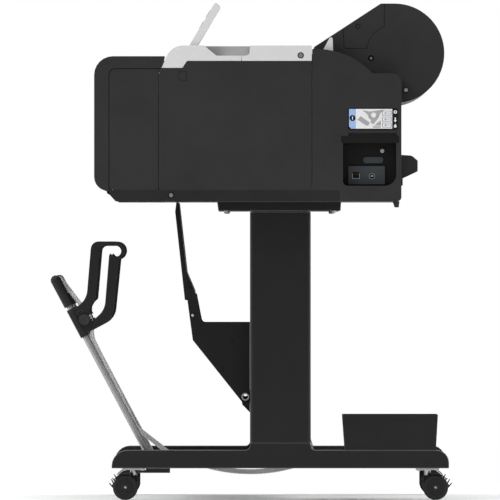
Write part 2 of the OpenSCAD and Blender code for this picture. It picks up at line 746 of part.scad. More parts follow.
// Cloth: from the frame's top bar over the stacker rod, down in a sag and up to the rear rod
cloth_front_path = route([
    [-412, 486, 0], [-346, 388, 12], [-338, 344, 26], [-246, 158, 0]
]);
cloth_rear_path = route([
    [-225, 134, 0], [-172, 95, 50], [-2, 38.5, 350], [146, 86, 34], [128, 128, 24], [4, 216, 0]
]);
module basket_cloth_front() color(light) difference() {
    along_x(-cloth_half, cloth_half) polygon(strip(cloth_front_path, -cloth_t));
    rod_x(-pipe_x, pipe_x, stacker, rod_r + 0.3);
}
module basket_cloth_rear() color(light)
    along_x(-cloth_half, cloth_half) polygon(strip(cloth_rear_path, -cloth_t));

// Open tray on the rear of the right foot
pocket_x = 270;
pocket_outline = [[203, foot_top, 0], [397.7, foot_top, 0], [402, 182.5, 0], [197.6, 182.5, 0]];
module accessory_pocket() color(dark) difference() {
    along_x(pocket_x, leg_out) polygon(rounded(pocket_outline));
    intersection() {
        along_x(pocket_x + wall, leg_out - wall) polygon(rounded(shrink(pocket_outline, wall)));
        block([0, 0, 0], [side_x, side_x, 179]);
    }
    along_x(pocket_x + wall, leg_out - wall) polygon([[200.7, 178], [398.7, 178], [399, 184], [200.5, 184]]);
}

base_tray();
side_frames();
platen();
carriage_rail();
right_side_cover();
left_side_cover();
right_rear_cover();
left_rear_cover();
right_top_cap();
left_top_cap();
front_panel();
rear_panel();
ink_bay();
maintenance_bay();
port_panel();
sockets();
side_screws();
electronics();
ink_tanks();
right_leg();
left_leg();
cross_stay();
caster_plates();
caster_hood_front_right();
caster_hood_front_left();
caster_hood_rear_right();
caster_hood_rear_left();
wheels_front_right();
wheels_front_left();
wheels_rear_right();
wheels_rear_left();
brake_front_right();
brake_front_left();
brake_rear_right();
brake_rear_left();
basket_frame();
frame_sleeves();
basket_arms();
stacker_rod();
rear_cloth_rod();
guide_brackets();
paper_guide();
basket_cloth_front();
basket_cloth_rear();
accessory_pocket();
top_cover();
top_window();
panel_shell();
panel_display();
power_button();
stop_button();
ink_cover();
maintenance_cover();
release_lever();
pinch_rollers();
feed_roller();
roll_cover();
spindle_shaft();
media_roll();
carriage();
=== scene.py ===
"""Looks of the large format plotter: materials, cloth, fine detail, floor, light and camera.

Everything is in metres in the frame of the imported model: +X is the machine's right, the front faces -Y,
+Z is up and the origin is on the floor.
"""
import json
import math

import bmesh
import bpy
from mathutils import Matrix, Vector


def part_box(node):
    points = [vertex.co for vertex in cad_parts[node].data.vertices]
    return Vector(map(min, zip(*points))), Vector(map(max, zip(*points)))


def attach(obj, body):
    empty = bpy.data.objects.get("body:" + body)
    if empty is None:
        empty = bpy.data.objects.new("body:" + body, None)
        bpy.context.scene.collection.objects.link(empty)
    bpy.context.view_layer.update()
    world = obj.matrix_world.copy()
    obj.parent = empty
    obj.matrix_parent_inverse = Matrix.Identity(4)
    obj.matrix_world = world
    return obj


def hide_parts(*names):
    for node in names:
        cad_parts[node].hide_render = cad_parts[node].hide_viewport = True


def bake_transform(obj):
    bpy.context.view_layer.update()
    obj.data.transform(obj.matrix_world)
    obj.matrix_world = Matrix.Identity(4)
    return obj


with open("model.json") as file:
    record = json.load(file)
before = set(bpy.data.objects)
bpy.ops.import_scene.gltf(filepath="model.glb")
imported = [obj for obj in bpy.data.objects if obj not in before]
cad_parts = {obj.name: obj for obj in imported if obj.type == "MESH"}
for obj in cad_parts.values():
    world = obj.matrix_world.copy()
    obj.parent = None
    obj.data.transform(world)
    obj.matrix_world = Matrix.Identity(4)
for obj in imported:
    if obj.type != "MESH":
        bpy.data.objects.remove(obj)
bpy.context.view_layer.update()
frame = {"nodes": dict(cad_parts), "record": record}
NODES = frame["nodes"]
MM = 0.001


# ---- Camera, floor and light ----

VIEW_HEIGHT = 0.535
FIELD = 1.0695
DISTANCE = 49
SENSOR = 36


def make_camera():
    """A very long lens level with the middle of the machine, looking at its right-hand side."""
    near_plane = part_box("right_leg")[1][0]
    data = bpy.data.cameras.new("camera")
    data.sensor_width = SENSOR
    data.lens = SENSOR * DISTANCE / FIELD
    data.clip_start = 1
    data.clip_end = 300
    camera = bpy.data.objects.new("camera", data)
    camera.location = (near_plane + DISTANCE, 0, VIEW_HEIGHT)
    camera.rotation_euler = (math.radians(90), 0, math.radians(90))
    bpy.context.scene.collection.objects.link(camera)
    bpy.context.scene.camera = camera


def make_floor():
    """A pale floor plane."""
    mesh = bpy.data.meshes.new("floor")
    half = 2.6
    corners = [(-half, -half, 0), (half, -half, 0), (half, half, 0), (-half, half, 0)]
    mesh.from_pydata(corners, [], [(0, 1, 2, 3)])
    floor = bpy.data.objects.new("floor", mesh)
    bpy.context.scene.collection.objects.link(floor)
    mat = bpy.data.materials.new("floor_pale")
    mat.use_nodes = True
    shader = mat.node_tree.nodes["Principled BSDF"]
    shader.inputs["Base Color"].default_value = (0.95, 0.95, 0.95, 1)
    shader.inputs["Roughness"].default_value = 1.0
    shader.inputs["Specular IOR Level"].default_value = 0.0
    mesh.materials.append(mat)


def area_light(name, place, target, size, power):
    """A soft rectangular light that faces its target."""
    data = bpy.data.lights.new(name, "AREA")
    data.shape = "RECTANGLE"
    data.size, data.size_y = size
    data.energy = power
    light = bpy.data.objects.new(name, data)
    light.location = place
    light.rotation_euler = (Vector(target) - Vector(place)).to_track_quat("-Z", "Y").to_euler()
    bpy.context.scene.collection.objects.link(light)


def make_light():
    """White surroundings, dimmer to the machine's right, with three large soft lights and two strips."""
    world = bpy.data.worlds.new("studio")
    world.use_nodes = True
    tree = world.node_tree
    background = tree.nodes["Background"]
    toward = tree.nodes.new("ShaderNodeTexCoord")
    parts = tree.nodes.new("ShaderNodeSeparateXYZ")
    dim = tree.nodes.new("ShaderNodeMapRange")
    seen = tree.nodes.new("ShaderNodeLightPath")
    strength = tree.nodes.new("ShaderNodeMath")
    dim.interpolation_type = "SMOOTHSTEP"
    dim.inputs["From Min"].default_value = 0.3
    dim.inputs["From Max"].default_value = 0.95
    dim.inputs["To Min"].default_value = 1.0
    dim.inputs["To Max"].default_value = 0.42
    strength.operation = "MAXIMUM"
    tree.links.new(toward.outputs["Generated"], parts.inputs["Vector"])
    tree.links.new(parts.outputs["X"], dim.inputs["Value"])
    tree.links.new(dim.outputs["Result"], strength.inputs[0])
    tree.links.new(seen.outputs["Is Camera Ray"], strength.inputs[1])
    tree.links.new(strength.outputs["Value"], background.inputs["Strength"])
    background.inputs["Color"].default_value = (1, 1, 1, 1)
    bpy.context.scene.world = world
    area_light("key", (2.6, -2.4, 3.2), (0, 0, 0.7), (1.8, 1.8), 55)
    area_light("top", (0.2, 0.2, 3.6), (0, 0, 0.6), (2.5, 2.0), 30)
    area_light("rear", (-1.5, 3.2, 2.6), (0, 0, 0.7), (2.0, 1.5), 30)
    for y in (-3.5, 3.5):
        area_light("strip", (0.7, y, 0.9), (0.55, 0, 0.6), (0.8, 2.4), 24)


make_camera()
make_floor()
make_light()
bpy.context.scene.view_settings.view_transform = "Standard"


# ---- Materials ----

def node_maker(mat):
    """A function that adds a shader node; its inputs are values or sockets, by name or number."""
    tree = mat.node_tree

    def make(kind, inputs=None, **settings):
        made = tree.nodes.new(kind)
        for key, value in settings.items():
            setattr(made, key, value)
        for key, value in (inputs or {}).items():
            if isinstance(value, bpy.types.NodeSocket):
                tree.links.new(value, made.inputs[key])
            else:
                made.inputs[key].default_value = value
        return made

    return make


def mixed(make, factor, first, second):
    """A colour between two; the colour sockets of a Mix node are its seventh and eighth."""
    return make("ShaderNodeMix", {0: factor, 6: first, 7: second}, data_type="RGBA").outputs[2]


def linear(value):
    return value / 12.92 if value <= 0.04045 else ((value + 0.055) / 1.055) ** 2.4


def tinted(r, g, b):
    """A colour from its display values, 0 to 1."""
    return (linear(r), linear(g), linear(b), 1)


def grey(value):
    return tinted(value, value, value)


def plain(name, rough, metallic=0.0, specular=0.5, coat=0.0, sheen=0.0):
    """A new material with its shader's own sockets set, and the function that adds nodes to it."""
    mat = bpy.data.materials.new(name)
    mat.use_nodes = True
    shader = mat.node_tree.nodes["Principled BSDF"]
    shader.inputs["Roughness"].default_value = rough
    shader.inputs["Metallic"].default_value = metallic
    shader.inputs["Specular IOR Level"].default_value = specular
    shader.inputs["Coat Weight"].default_value = coat
    shader.inputs["Sheen Weight"].default_value = sheen
    return mat, shader, node_maker(mat)


def inside_box(make, place, low, high):
    """One inside a box of the object's own space, zero outside."""
    parts = make("ShaderNodeSeparateXYZ", {"Vector": place})
    inside = None
    for axis, least, most in zip("XYZ", low, high):
        for limit, operation in ((least, "GREATER_THAN"), (most, "LESS_THAN")):
            test = make("ShaderNodeMath", {0: parts.outputs[axis], 1: limit}, operation=operation)
            if inside is not None:
                test = make("ShaderNodeMath", {0: inside, 1: test.outputs["Value"]}, operation="MULTIPLY")
            inside = test.outputs["Value"]
    return inside


def surface(name, light, dark, rough, grain=0.0006, bump=0.15, vary=0.06, metallic=0.0, specular=0.5,
            stretch=(1, 1, 1), wear_and_highlight=None, wear_and_highlight_size=0.0012, coat=0.0, sunk=None):
    """A moulded, painted or metal surface: fine grain, slow colour variation and paler edges, partly wear and
    partly a painted highlight.
    """
    mat, shader, make = plain(name, rough, metallic, specular, coat)
    link = mat.node_tree.links.new
    place = make("ShaderNodeTexCoord").outputs["Object"]
    spread = make("ShaderNodeMapping", {"Vector": place, "Scale": stretch}).outputs["Vector"]
    fine = make("ShaderNodeTexNoise", {"Vector": spread, "Scale": 1 / grain, "Detail": 3.0, "Roughness": 0.6})
    slow = make("ShaderNodeTexNoise", {"Vector": place, "Scale": 7.0, "Detail": 4.0, "Roughness": 0.65})
    patch = make("ShaderNodeMapRange", {"Value": slow.outputs["Fac"], "From Min": 0.3, "From Max": 0.7})
    colour = mixed(make, patch.outputs["Result"], dark, light)
    # Paler edges from a Bevel-node mask: partly wear, partly a painted highlight where edges would catch the
    # light.
    if wear_and_highlight is not None:
        rounded = make("ShaderNodeBevel", {"Radius": wear_and_highlight_size}, samples=4)
        true = make("ShaderNodeNewGeometry")
        dot = make("ShaderNodeVectorMath", {0: rounded.outputs["Normal"], 1: true.outputs["Normal"]},
                   operation="DOT_PRODUCT")
        edge = make("ShaderNodeMapRange", {"Value": dot.outputs["Value"], "From Min": 0.995, "From Max": 0.8})
        patchy = make("ShaderNodeMath", {0: edge.outputs["Result"], 1: fine.outputs["Fac"]},
                      operation="MULTIPLY")
        colour = mixed(make, patchy.outputs["Value"], colour, wear_and_highlight)
    # sunk is a box of the object's space that is painted near black: painted shade inside a recess.
    if sunk is not None:
        colour = mixed(make, inside_box(make, place, *sunk), colour, grey(0.05))
    link(colour, shader.inputs["Base Color"])
    rough_range = make("ShaderNodeMapRange", {
        "Value": fine.outputs["Fac"], "To Min": max(rough - vary, 0.02), "To Max": min(rough + vary, 1)})
    link(rough_range.outputs["Result"], shader.inputs["Roughness"])
    if bump:
        height = make("ShaderNodeBump", {"Height": fine.outputs["Fac"], "Strength": bump,
                                         "Distance": grain * 0.5})
        link(height.outputs["Normal"], shader.inputs["Normal"])
    return mat


def brushed(name, light, dark, rough, length=60, grain=0.0004, axis=0, specular=0.5):
    """Drawn or brushed metal, its marks running along one axis."""
    stretch = [1, 1, 1]
    stretch[axis] = 1 / length
    return surface(name, light, dark, rough, grain=grain, bump=0.12, vary=0.1, metallic=1.0,
                   specular=specular, stretch=tuple(stretch))


def window_glass():
    """Smoked clear plastic with a faint haze."""
    mat, shader, make = plain("smoked_window", 0.05, specular=0.5, coat=0.3)
    link = mat.node_tree.links.new
    place = make("ShaderNodeTexCoord").outputs["Object"]
    haze = make("ShaderNodeTexNoise", {"Vector": place, "Scale": 9.0, "Detail": 5.0})
    link(mixed(make, haze.outputs["Fac"], grey(0.12), grey(0.17)), shader.inputs["Base Color"])
    shader.inputs["Alpha"].default_value = 0.55
    blur = make("ShaderNodeMapRange", {"Value": haze.outputs["Fac"], "To Min": 0.03, "To Max": 0.11})
    link(blur.outputs["Result"], shader.inputs["Roughness"])
    return mat


def paper_roll():
    """Matte paper whose edges show as fine rings on the ends of the roll."""
    low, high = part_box("media_roll")
    mat, shader, make = plain("media_paper", 0.8, specular=0.3)
    link = mat.node_tree.links.new
    place = make("ShaderNodeTexCoord").outputs["Object"]
    centred = make("ShaderNodeVectorMath", {0: place, 1: (0, (low.y + high.y) / 2, (low.z + high.z) / 2)},
                   operation="SUBTRACT")
    flat = make("ShaderNodeVectorMath", {0: centred.outputs["Vector"], 1: (0, 1, 1)}, operation="MULTIPLY")
    radius = make("ShaderNodeVectorMath", {0: flat.outputs["Vector"]}, operation="LENGTH")
    turns = make("ShaderNodeMath", {0: radius.outputs["Value"], 1: 3200.0}, operation="MULTIPLY")
    ring = make("ShaderNodeMath", {0: turns.outputs["Value"]}, operation="SINE")
    tone = make("ShaderNodeMapRange", {"Value": ring.outputs["Value"], "From Min": -1.0})
    link(mixed(make, tone.outputs["Result"], tinted(0.86, 0.85, 0.82), tinted(0.94, 0.94, 0.92)),
         shader.inputs["Base Color"])
    bump = make("ShaderNodeBump", {"Height": ring.outputs["Value"], "Strength": 0.1, "Distance": 0.0003})
    link(bump.outputs["Normal"], shader.inputs["Normal"])
    return mat


def circuit_board():
    """Green solder mask with lighter tracks."""
    mat, shader, make = plain("circuit_board", 0.35, coat=0.3)
    link = mat.node_tree.links.new
    place = make("ShaderNodeTexCoord").outputs["Object"]
    cells = make("ShaderNodeTexVoronoi", {"Vector": place, "Scale": 160.0}, distance="CHEBYCHEV")
    tracks = make("ShaderNodeMapRange", {
        "Value": cells.outputs["Distance"], "From Min": 0.3, "From Max": 0.4})
    link(mixed(make, tracks.outputs["Result"], tinted(0.05, 0.3, 0.16), tinted(0.1, 0.42, 0.24)),
         shader.inputs["Base Color"])
    return mat


def woven(name, light, dark, pitch=0.0011, sheen=0.25):
    """Woven polyester: threads over and under each other, from a flat map in metres."""
    mat, shader, make = plain(name, 0.78, specular=0.25, sheen=sheen)
    shader.inputs["Sheen Roughness"].default_value = 0.4
    link = mat.node_tree.links.new
    flat = make("ShaderNodeUVMap", uv_map="flat").outputs["UV"]
    parts = make("ShaderNodeSeparateXYZ", {"Vector": flat})
    turn = 2 * math.pi / pitch
    waves = []
    for axis in ("X", "Y"):
        angle = make("ShaderNodeMath", {0: parts.outputs[axis], 1: turn}, operation="MULTIPLY")
        waves.append(make("ShaderNodeMath", {0: angle.outputs["Value"]}, operation="SINE").outputs["Value"])
    over = make("ShaderNodeMath", {0: waves[0], 1: waves[1]}, operation="MULTIPLY")
    cloud = make("ShaderNodeTexNoise", {"Vector": flat, "Scale": 14.0, "Detail": 5.0})
    slub = make("ShaderNodeTexNoise", {"Vector": flat, "Scale": 700.0, "Detail": 2.0})
    tone = make("ShaderNodeMath", {0: cloud.outputs["Fac"], 1: slub.outputs["Fac"]}, operation="ADD")
    shade = make("ShaderNodeMapRange", {"Value": tone.outputs["Value"], "From Min": 0.75, "From Max": 1.25,
                                        "To Min": 0.84})
    gap = make("ShaderNodeMapRange", {"Value": over.outputs["Value"], "From Min": -1.0, "To Min": 0.82,
                                      "To Max": 1.0})
    depth = make("ShaderNodeMath", {0: shade.outputs["Result"], 1: gap.outputs["Result"]},
                 operation="MULTIPLY")
    link(mixed(make, depth.outputs["Value"], dark, light), shader.inputs["Base Color"])
    bump = make("ShaderNodeBump", {"Height": over.outputs["Value"], "Strength": 0.2, "Distance": 0.0001})
    link(bump.outputs["Normal"], shader.inputs["Normal"])
    return mat


def flat_print(name, colour, rough=0.45):
    """Printed ink or a small coloured part, with a faint mottle."""
    mat, shader, make = plain(name, rough, specular=0.4)
    place = make("ShaderNodeTexCoord").outputs["Object"]
    mottle = make("ShaderNodeTexNoise", {"Vector": place, "Scale": 900.0, "Detail": 2.0})
    darker = tuple(c * 0.82 for c in colour[:3]) + (1,)
    mat.node_tree.links.new(mixed(make, mottle.outputs["Fac"], darker, colour), shader.inputs["Base Color"])
    return mat


def moulded(name, value, rough=0.5, specular=0.22, spread=0.012, wear_and_highlight=0.3, tint=(1, 1, 1), bump=0.22,
            wear_and_highlight_size=0.0012, sunk=None):
    """Dark moulded or powder-coated surface of a display value."""
    shades = [tinted(*(max(value + d, 0.01) * t for t in tint)) for d in (spread, -spread)]
    return surface(name, shades[0], shades[1], rough, bump=bump, specular=specular, wear_and_highlight=grey(wear_and_highlight),
                   wear_and_highlight_size=wear_and_highlight_size, sunk=sunk)


SIDE_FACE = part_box("right_side_cover")[1].x
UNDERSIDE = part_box("base_tray")[0].z
# The walls of the connector recess and the bar set back above it, painted near black as painted shade, darker
# than the cover's face
RECESS_PAINTED_SHADE = ((0.5, 0.193, UNDERSIDE + 0.032), (SIDE_FACE - 0.0006, 0.3186, UNDERSIDE + 0.1402))
MATERIALS = {
    "body": moulded("body_plastic", 0.165),
    "recess_painted_shade": moulded("body_plastic_recess_painted_shade", 0.165, sunk=RECESS_PAINTED_SHADE),
    "sill": moulded("sill_plastic", 0.115, rough=0.6),
    "dark": moulded("dark_plastic", 0.098, rough=0.5),
    # The leg paint's broad pale edges are a painted highlight on the column's rounded corners.
    "paint": moulded("leg_paint", 0.045, rough=0.4, specular=0.34, bump=0.2, wear_and_highlight=0.6, wear_and_highlight_size=0.0035),
    "bracket": moulded("bracket_paint", 0.052, rough=0.6, bump=0.2),
    "port": moulded("port_plastic", 0.27, tint=(0.93, 1, 1.06)),
    "tyre": moulded("wheel_tread", 0.1, rough=0.62, specular=0.3, wear_and_highlight=0.24),
    "rubber": moulded("roller_rubber", 0.2, rough=0.75, specular=0.2),
    "light": surface("light_plastic", grey(0.83), grey(0.81), 0.42, bump=0.1, specular=0.35),
    "zinc": surface("frame_steel", grey(0.78), grey(0.66), 0.38, grain=0.004, bump=0.03, vary=0.08,
                    metallic=1.0),
    "pipe": surface("pipe_steel", grey(0.62), grey(0.58), 0.46, grain=0.003, bump=0.0, vary=0.03,
                    metallic=0.8),
    "shaft": brushed("turned_steel", grey(0.75), grey(0.66), 0.28),
    "board": circuit_board(),
    "window": window_glass(),
    "glass": surface("display_glass", grey(0.07), grey(0.05), 0.08, bump=0, vary=0.02, coat=0.6),
    "paper": paper_roll(),
    "black": moulded("black_plastic", 0.05, rough=0.55, wear_and_highlight=0.12),
    "gold": surface("gold_contact", tinted(0.9, 0.72, 0.36), tinted(0.8, 0.62, 0.3), 0.25, metallic=1.0,
                    bump=0.02),
    "cloth": woven("basket_weave", grey(0.82), grey(0.66)),
    "hem": woven("hem_weave", grey(0.76), grey(0.62), pitch=0.0009),
    "thread": flat_print("sewing_thread", grey(0.76), 0.6),
    "white_print": flat_print("white_print", grey(0.93)),
    "grey_print": flat_print("grey_print", grey(0.66)),
    "blue_print": flat_print("blue_print", tinted(0.62, 0.74, 0.93)),
    "screen": flat_print("screen_dark", tinted(0.07, 0.09, 0.12), 0.12),
    "screen_grey": flat_print("screen_grey", tinted(0.3, 0.34, 0.38), 0.12),
    "icon": flat_print("screen_icon", tinted(0.45, 0.72, 0.8), 0.2),
}
FINISH_OF_SLOT = {
    "housing_plastic": "body", "light_plastic": "light", "smoked_window": "window", "display_glass": "glass",
    "dark_plastic": "dark", "wheel_tread": "tyre", "port_plastic": "port", "frame_steel": "zinc",
    "circuit_board": "board", "leg_paint": "paint", "pipe_steel": "pipe", "roller_rubber": "rubber",
    "media_paper": "paper", "cloth": "light",
}
OTHER_FINISH = {
    "base_tray": "sill", "guide_brackets": "bracket", "paper_guide": "bracket", "side_screws": "shaft",
    "caster_plates": "shaft", "right_rear_cover": "recess_painted_shade", "sockets": "black",
}
# How far the sharp edges of a node are rounded, in millimetres
EDGE_OF_SLOT = {
    "housing_plastic": 0.9, "light_plastic": 0.9, "dark_plastic": 0.6, "leg_paint": 2.0, "port_plastic": 0.4,
    "frame_steel": 0.3, "display_glass": 0.3, "pipe_steel": 0.4,
}
OTHER_EDGE = {"basket_arms": 1.3, "paper_guide": 0.5, "right_top_cap": 1.5, "left_top_cap": 1.5,
              "guide_brackets": 0.6, "right_rear_cover": 1.5, "left_rear_cover": 1.5}


def soften(thing, width, limit=28):
    """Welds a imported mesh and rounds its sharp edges."""
    weld = thing.modifiers.new("weld", "WELD")
    weld.merge_threshold = 1e-6
    flat = thing.modifiers.new("flat", "DECIMATE")
    flat.decimate_type = "DISSOLVE"
    flat.angle_limit = math.radians(0.3)
    bevel = thing.modifiers.new("bevel", "BEVEL")
    bevel.width = width * MM
    bevel.segments = 2
    bevel.limit_method = "ANGLE"
    bevel.angle_limit = math.radians(limit)
    bevel.harden_normals = True


for row in frame["record"]["subparts"]:
    node, slot_name = row["node"], row["material_slot"]
    thing = NODES[node]
    thing.data.materials.clear()
    thing.data.materials.append(MATERIALS[OTHER_FINISH.get(node, FINISH_OF_SLOT[slot_name])])
    width = OTHER_EDGE.get(node, EDGE_OF_SLOT.get(slot_name, 0))
    if width:
        soften(thing, width)


# ---- Mesh helpers: outlines and places are in millimetres, meshes in metres ----

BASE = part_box("base_tray")[0].z / MM
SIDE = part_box("right_side_cover")[1].x / MM
LEG_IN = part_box("right_leg")[0].x / MM + 22
RIGHT = (1, 0, 0)
LEFT = (-1, 0, 0)
DOWN = (0, 0, -1)
UP = (0, 0, 1)


def outward(side):
    """The axis that points out of the machine on its right (1) or left (-1)."""
    return RIGHT if side > 0 else LEFT


def body_place(x, y, height):
    """A place on the machine's body, its height above the underside."""
    return (x, y, BASE + height)


def arc(centre, radius, start, end, steps=8):
    """Points along an arc, the angles in degrees."""
    turns = [math.radians(start + (end - start) * i / steps) for i in range(steps + 1)]
    return [(centre[0] + radius * math.cos(t), centre[1] + radius * math.sin(t)) for t in turns]


def rectangle(u0, u1, v0, v1):
    return [(u0, v0), (u1, v0), (u1, v1), (u0, v1)]


def cut_rectangle(u0, u1, v0, v1, cut):
    """A rectangle with its corners cut off."""
    return [(u0 + cut, v0), (u1 - cut, v0), (u1, v0 + cut), (u1, v1 - cut), (u1 - cut, v1), (u0 + cut, v1),
            (u0, v1 - cut), (u0, v0 + cut)]


def add_face(bm, points, tone):
    """A face from its points, leaving out repeated ones."""
    corners = list(dict.fromkeys(points))
    if len(corners) > 2:
        bm.faces.new(corners).material_index = tone


def add_sides(bm, a, b, tone):
    """The strip of faces between two rings of as many points."""
    for i in range(len(a)):
        j = (i + 1) % len(a)
        add_face(bm, [a[i], a[j], b[j], b[i]], tone)


def add_turned(bm, profile, centre, axis=RIGHT, steps=24, tone=0):
    """A surface of revolution from points (distance along the axis, radius)."""
    turn = Vector(axis).to_track_quat("X", "Z").to_matrix()
    rings = []
    for along, radius in profile:
        count = steps if radius > 0 else 1
        ring = []
        for i in range(count):
            angle = 2 * math.pi * i / steps
            local = Vector((along, radius * math.cos(angle), radius * math.sin(angle)))
            ring.append(bm.verts.new((Vector(centre) + turn @ local) * MM))
        rings.append(ring)
    for a, b in zip(rings, rings[1:]):
        for i in range(steps):
            j = i + 1
            add_face(bm, [a[i % len(a)], a[j % len(a)], b[j % len(b)], b[i % len(b)]], tone)


def add_washer(bm, inner, outer, low, high, centre, axis=RIGHT, tone=0):
    """A flat ring."""
    ring = [(low, inner), (low, outer), (high, outer), (high, inner), (low, inner)]
    add_turned(bm, ring, centre, axis, tone=tone)


def add_prism(bm, outline, x0, x1, tone=0):
    """A [y, z] outline extruded along X."""
    rings = [[bm.verts.new((x * MM, y * MM, z * MM)) for y, z in outline] for x in (x0, x1)]
    for ring in rings:
        add_face(bm, ring, tone)
    add_sides(bm, *rings, tone)


def add_plate(bm, outline, frame_of, low, high, tone=0):
    """An outline extruded along the normal of a plane: frame_of turns (across, along, out) into a place."""
    rings = [[bm.verts.new(Vector(frame_of(u, v, out)) * MM) for u, v in outline] for out in (low, high)]
    for ring in rings:
        add_face(bm, ring, tone)
    add_sides(bm, *rings, tone)


def add_block(bm, low, high, tone=0):
    """A block between two opposite corners."""
    add_prism(bm, rectangle(low[1], high[1], low[2], high[2]), low[0], high[0], tone)


def add_screw(bm, centre, radius, axis=RIGHT, tone=0, deep=0.55):
    """A low domed head with a cross-shaped recess; the centre lies under the head."""
    turn = Vector(axis).to_track_quat("X", "Z").to_matrix()
    high = radius * 0.45
    arm = radius * 0.16
    reach = radius * 0.58

    def place(out, across, up):
        return bm.verts.new((Vector(centre) + turn @ Vector((out, across, up))) * MM)

    cross = [
        (reach, arm), (arm, arm), (arm, reach), (-arm, reach), (-arm, arm), (-reach, arm),
        (-reach, -arm), (-arm, -arm), (-arm, -reach), (arm, -reach), (arm, -arm), (reach, -arm)
    ]
    steps = 24
    rings = []
    for out, wide in ((0, 1.0), (high * 0.55, 1.0), (high * 0.9, 0.88), (high, 0.72)):
        rings.append([place(out, radius * wide * math.cos(2 * math.pi * i / steps),
                            radius * wide * math.sin(2 * math.pi * i / steps)) for i in range(steps)])
    for a, b in zip(rings, rings[1:]):
        add_sides(bm, a, b, tone)
    lip = [place(high, across, up) for across, up in cross]
    floor = [place(high * (1 - deep), across, up) for across, up in cross]
    rim = []
    for ring in (rings[-1], lip):
        rim += [bm.edges.get((ring[i], ring[(i + 1) % len(ring)])) or
                bm.edges.new((ring[i], ring[(i + 1) % len(ring)])) for i in range(len(ring))]
    filled = bmesh.ops.triangle_fill(bm, edges=rim, use_beauty=True)
    for made in filled["geom"]:
        if isinstance(made, bmesh.types.BMFace):
            made.material_index = tone
    add_sides(bm, lip, floor, tone)
    add_face(bm, floor, tone)
    add_face(bm, rings[0], tone)


def add_bolt(bm, centre, across, axis=RIGHT, tone=0):
    """A hexagon head with a chamfered top on a plain washer."""
    add_washer(bm, across * 0.3, across * 0.62, 0, across * 0.1, centre, axis, tone)
    profile = [(across * 0.1, 0), (across * 0.1, across * 0.577), (across * 0.42, across * 0.577),
               (across * 0.5, across * 0.48), (across * 0.5, 0)]
    add_turned(bm, profile, centre, axis, steps=6, tone=tone)


def piece(name, bm, finishes, body="root", smooth=35, bevel=0.0):
    """Makes the object from its mesh, with one finish for each tone, and lets it ride on a body."""
    names = [finishes] if isinstance(finishes, str) else finishes
    bmesh.ops.recalc_face_normals(bm, faces=bm.faces)
    mesh = bpy.data.meshes.new(name)
    bm.to_mesh(mesh)
    bm.free()
    mesh.set_sharp_from_angle(angle=math.radians(smooth))
    for finish in names:
        mesh.materials.append(MATERIALS[finish])
    made = bpy.data.objects.new(name, mesh)
    bpy.context.scene.collection.objects.link(made)
    if bevel:
        rim = made.modifiers.new("bevel", "BEVEL")
        rim.width = bevel * MM
        rim.segments = 2
        rim.limit_method = "ANGLE"
        rim.angle_limit = math.radians(40)
    if body:
        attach(made, body)
    return made


# ---- Basket cloth ----

# Where the frame's top pipe and the rear rod run: the [y, z] of their middles
PIPE = (-416.2, 469.8)
ROD = (-9.8, 220.9)
CLOTH_THICK = 1.0
CLOTH_HALF = 438.5
HEM = 15


def rounded_route(points):
    """An open [y, z, radius] path with its inner corners rounded."""
    path = [Vector(points[0][:2])]
    for a, b, c in zip(points, points[1:], points[2:]):
        radius = b[2]
        here = Vector(b[:2])
        u = (Vector(a[:2]) - here).normalized()
        v = (Vector(c[:2]) - here).normalized()
        if radius == 0:
            path.append(here)
            continue
        half = u.angle(v) / 2
        centre = here + (u + v).normalized() * radius / math.sin(half)
        p = here + u * radius / math.tan(half) - centre
        q = here + v * radius / math.tan(half) - centre
        start = math.atan2(p.y, p.x)
        sweep = (math.atan2(q.y, q.x) - start + 3 * math.pi) % (2 * math.pi) - math.pi
        for i in range(13):
            angle = start + sweep * i / 12
            path.append(centre + radius * Vector((math.cos(angle), math.sin(angle))))
    path.append(Vector(points[-1][:2]))
    return path


def tangent_angle(centre, radius, outside, side):
    """The angle at which a line from a point outside touches a circle, on one side of it."""
    away = Vector(outside) - Vector(centre)
    return math.degrees(math.atan2(away.y, away.x) + side * math.acos(radius / away.length))


def cloth_path():
    """From the sewn end at the top pipe, round the pipe, down, along the sag, up and round the rear rod."""
    main = rounded_route([
        (-412, 486, 0), (-344.2, 388.5, 12), (-339.6, 342, 24), (-244, 150, 36), (-172, 94, 50),
        (-2, 37.5, 350), (146, 85.5, 34), (128.5, 128, 24), (4, 216, 0)
    ])[1:-1]
    wrap_pipe = 8.4
    wrap_rod = 9.6
    flap_long = 36
    flap_off = 2.4
    leave_pipe = tangent_angle(PIPE, wrap_pipe, main[0], 1)
    reach_rod = tangent_angle(ROD, wrap_rod, main[-1], 1)

    def flap_end(centre, radius, angle, toward):
        """The end of the sewn flap, which lies beside the sheet where it leaves its pipe."""
        leaves = Vector(arc(centre, radius, angle, angle, 1)[0])
        along = (toward - leaves).normalized()
        return leaves + flap_long * along + flap_off * Vector((along.y, -along.x))

    flap = flap_end(PIPE, wrap_pipe, leave_pipe, main[0])
    rear_flap = flap_end(ROD, wrap_rod, reach_rod, main[-1])
    start = tangent_angle(PIPE, wrap_pipe, flap, -1)
    end = tangent_angle(ROD, wrap_rod, rear_flap, -1)
    top = [Vector(p) for p in arc(PIPE, wrap_pipe, start + 360, leave_pipe, 20)]
    rear = [Vector(p) for p in arc(ROD, wrap_rod, reach_rod, end + 360, 20)]
    return [flap] + top + main + rear + [rear_flap]


def resampled(path, step):
    """Points a fixed step apart along a path, with the distance of each."""
    found = [(path[0].copy(), 0.0)]
    travelled = 0.0
    due = step
    for a, b in zip(path, path[1:]):
        length = (b - a).length
        while length > 0 and travelled + length >= due:
            found.append((a.lerp(b, (due - travelled) / length), due))
            due += step
        travelled += length
    return found, travelled


CLOTH_LINE, CLOTH_LENGTH = resampled(cloth_path(), 6.0)


def cloth_normal(i):
    """The unit normal of the cloth's path at station i, on its inner side."""
    before = CLOTH_LINE[max(i - 1, 0)][0]
    after = CLOTH_LINE[min(i + 1, len(CLOTH_LINE) - 1)][0]
    along = (after - before).normalized()
    return Vector((-along.y, along.x))


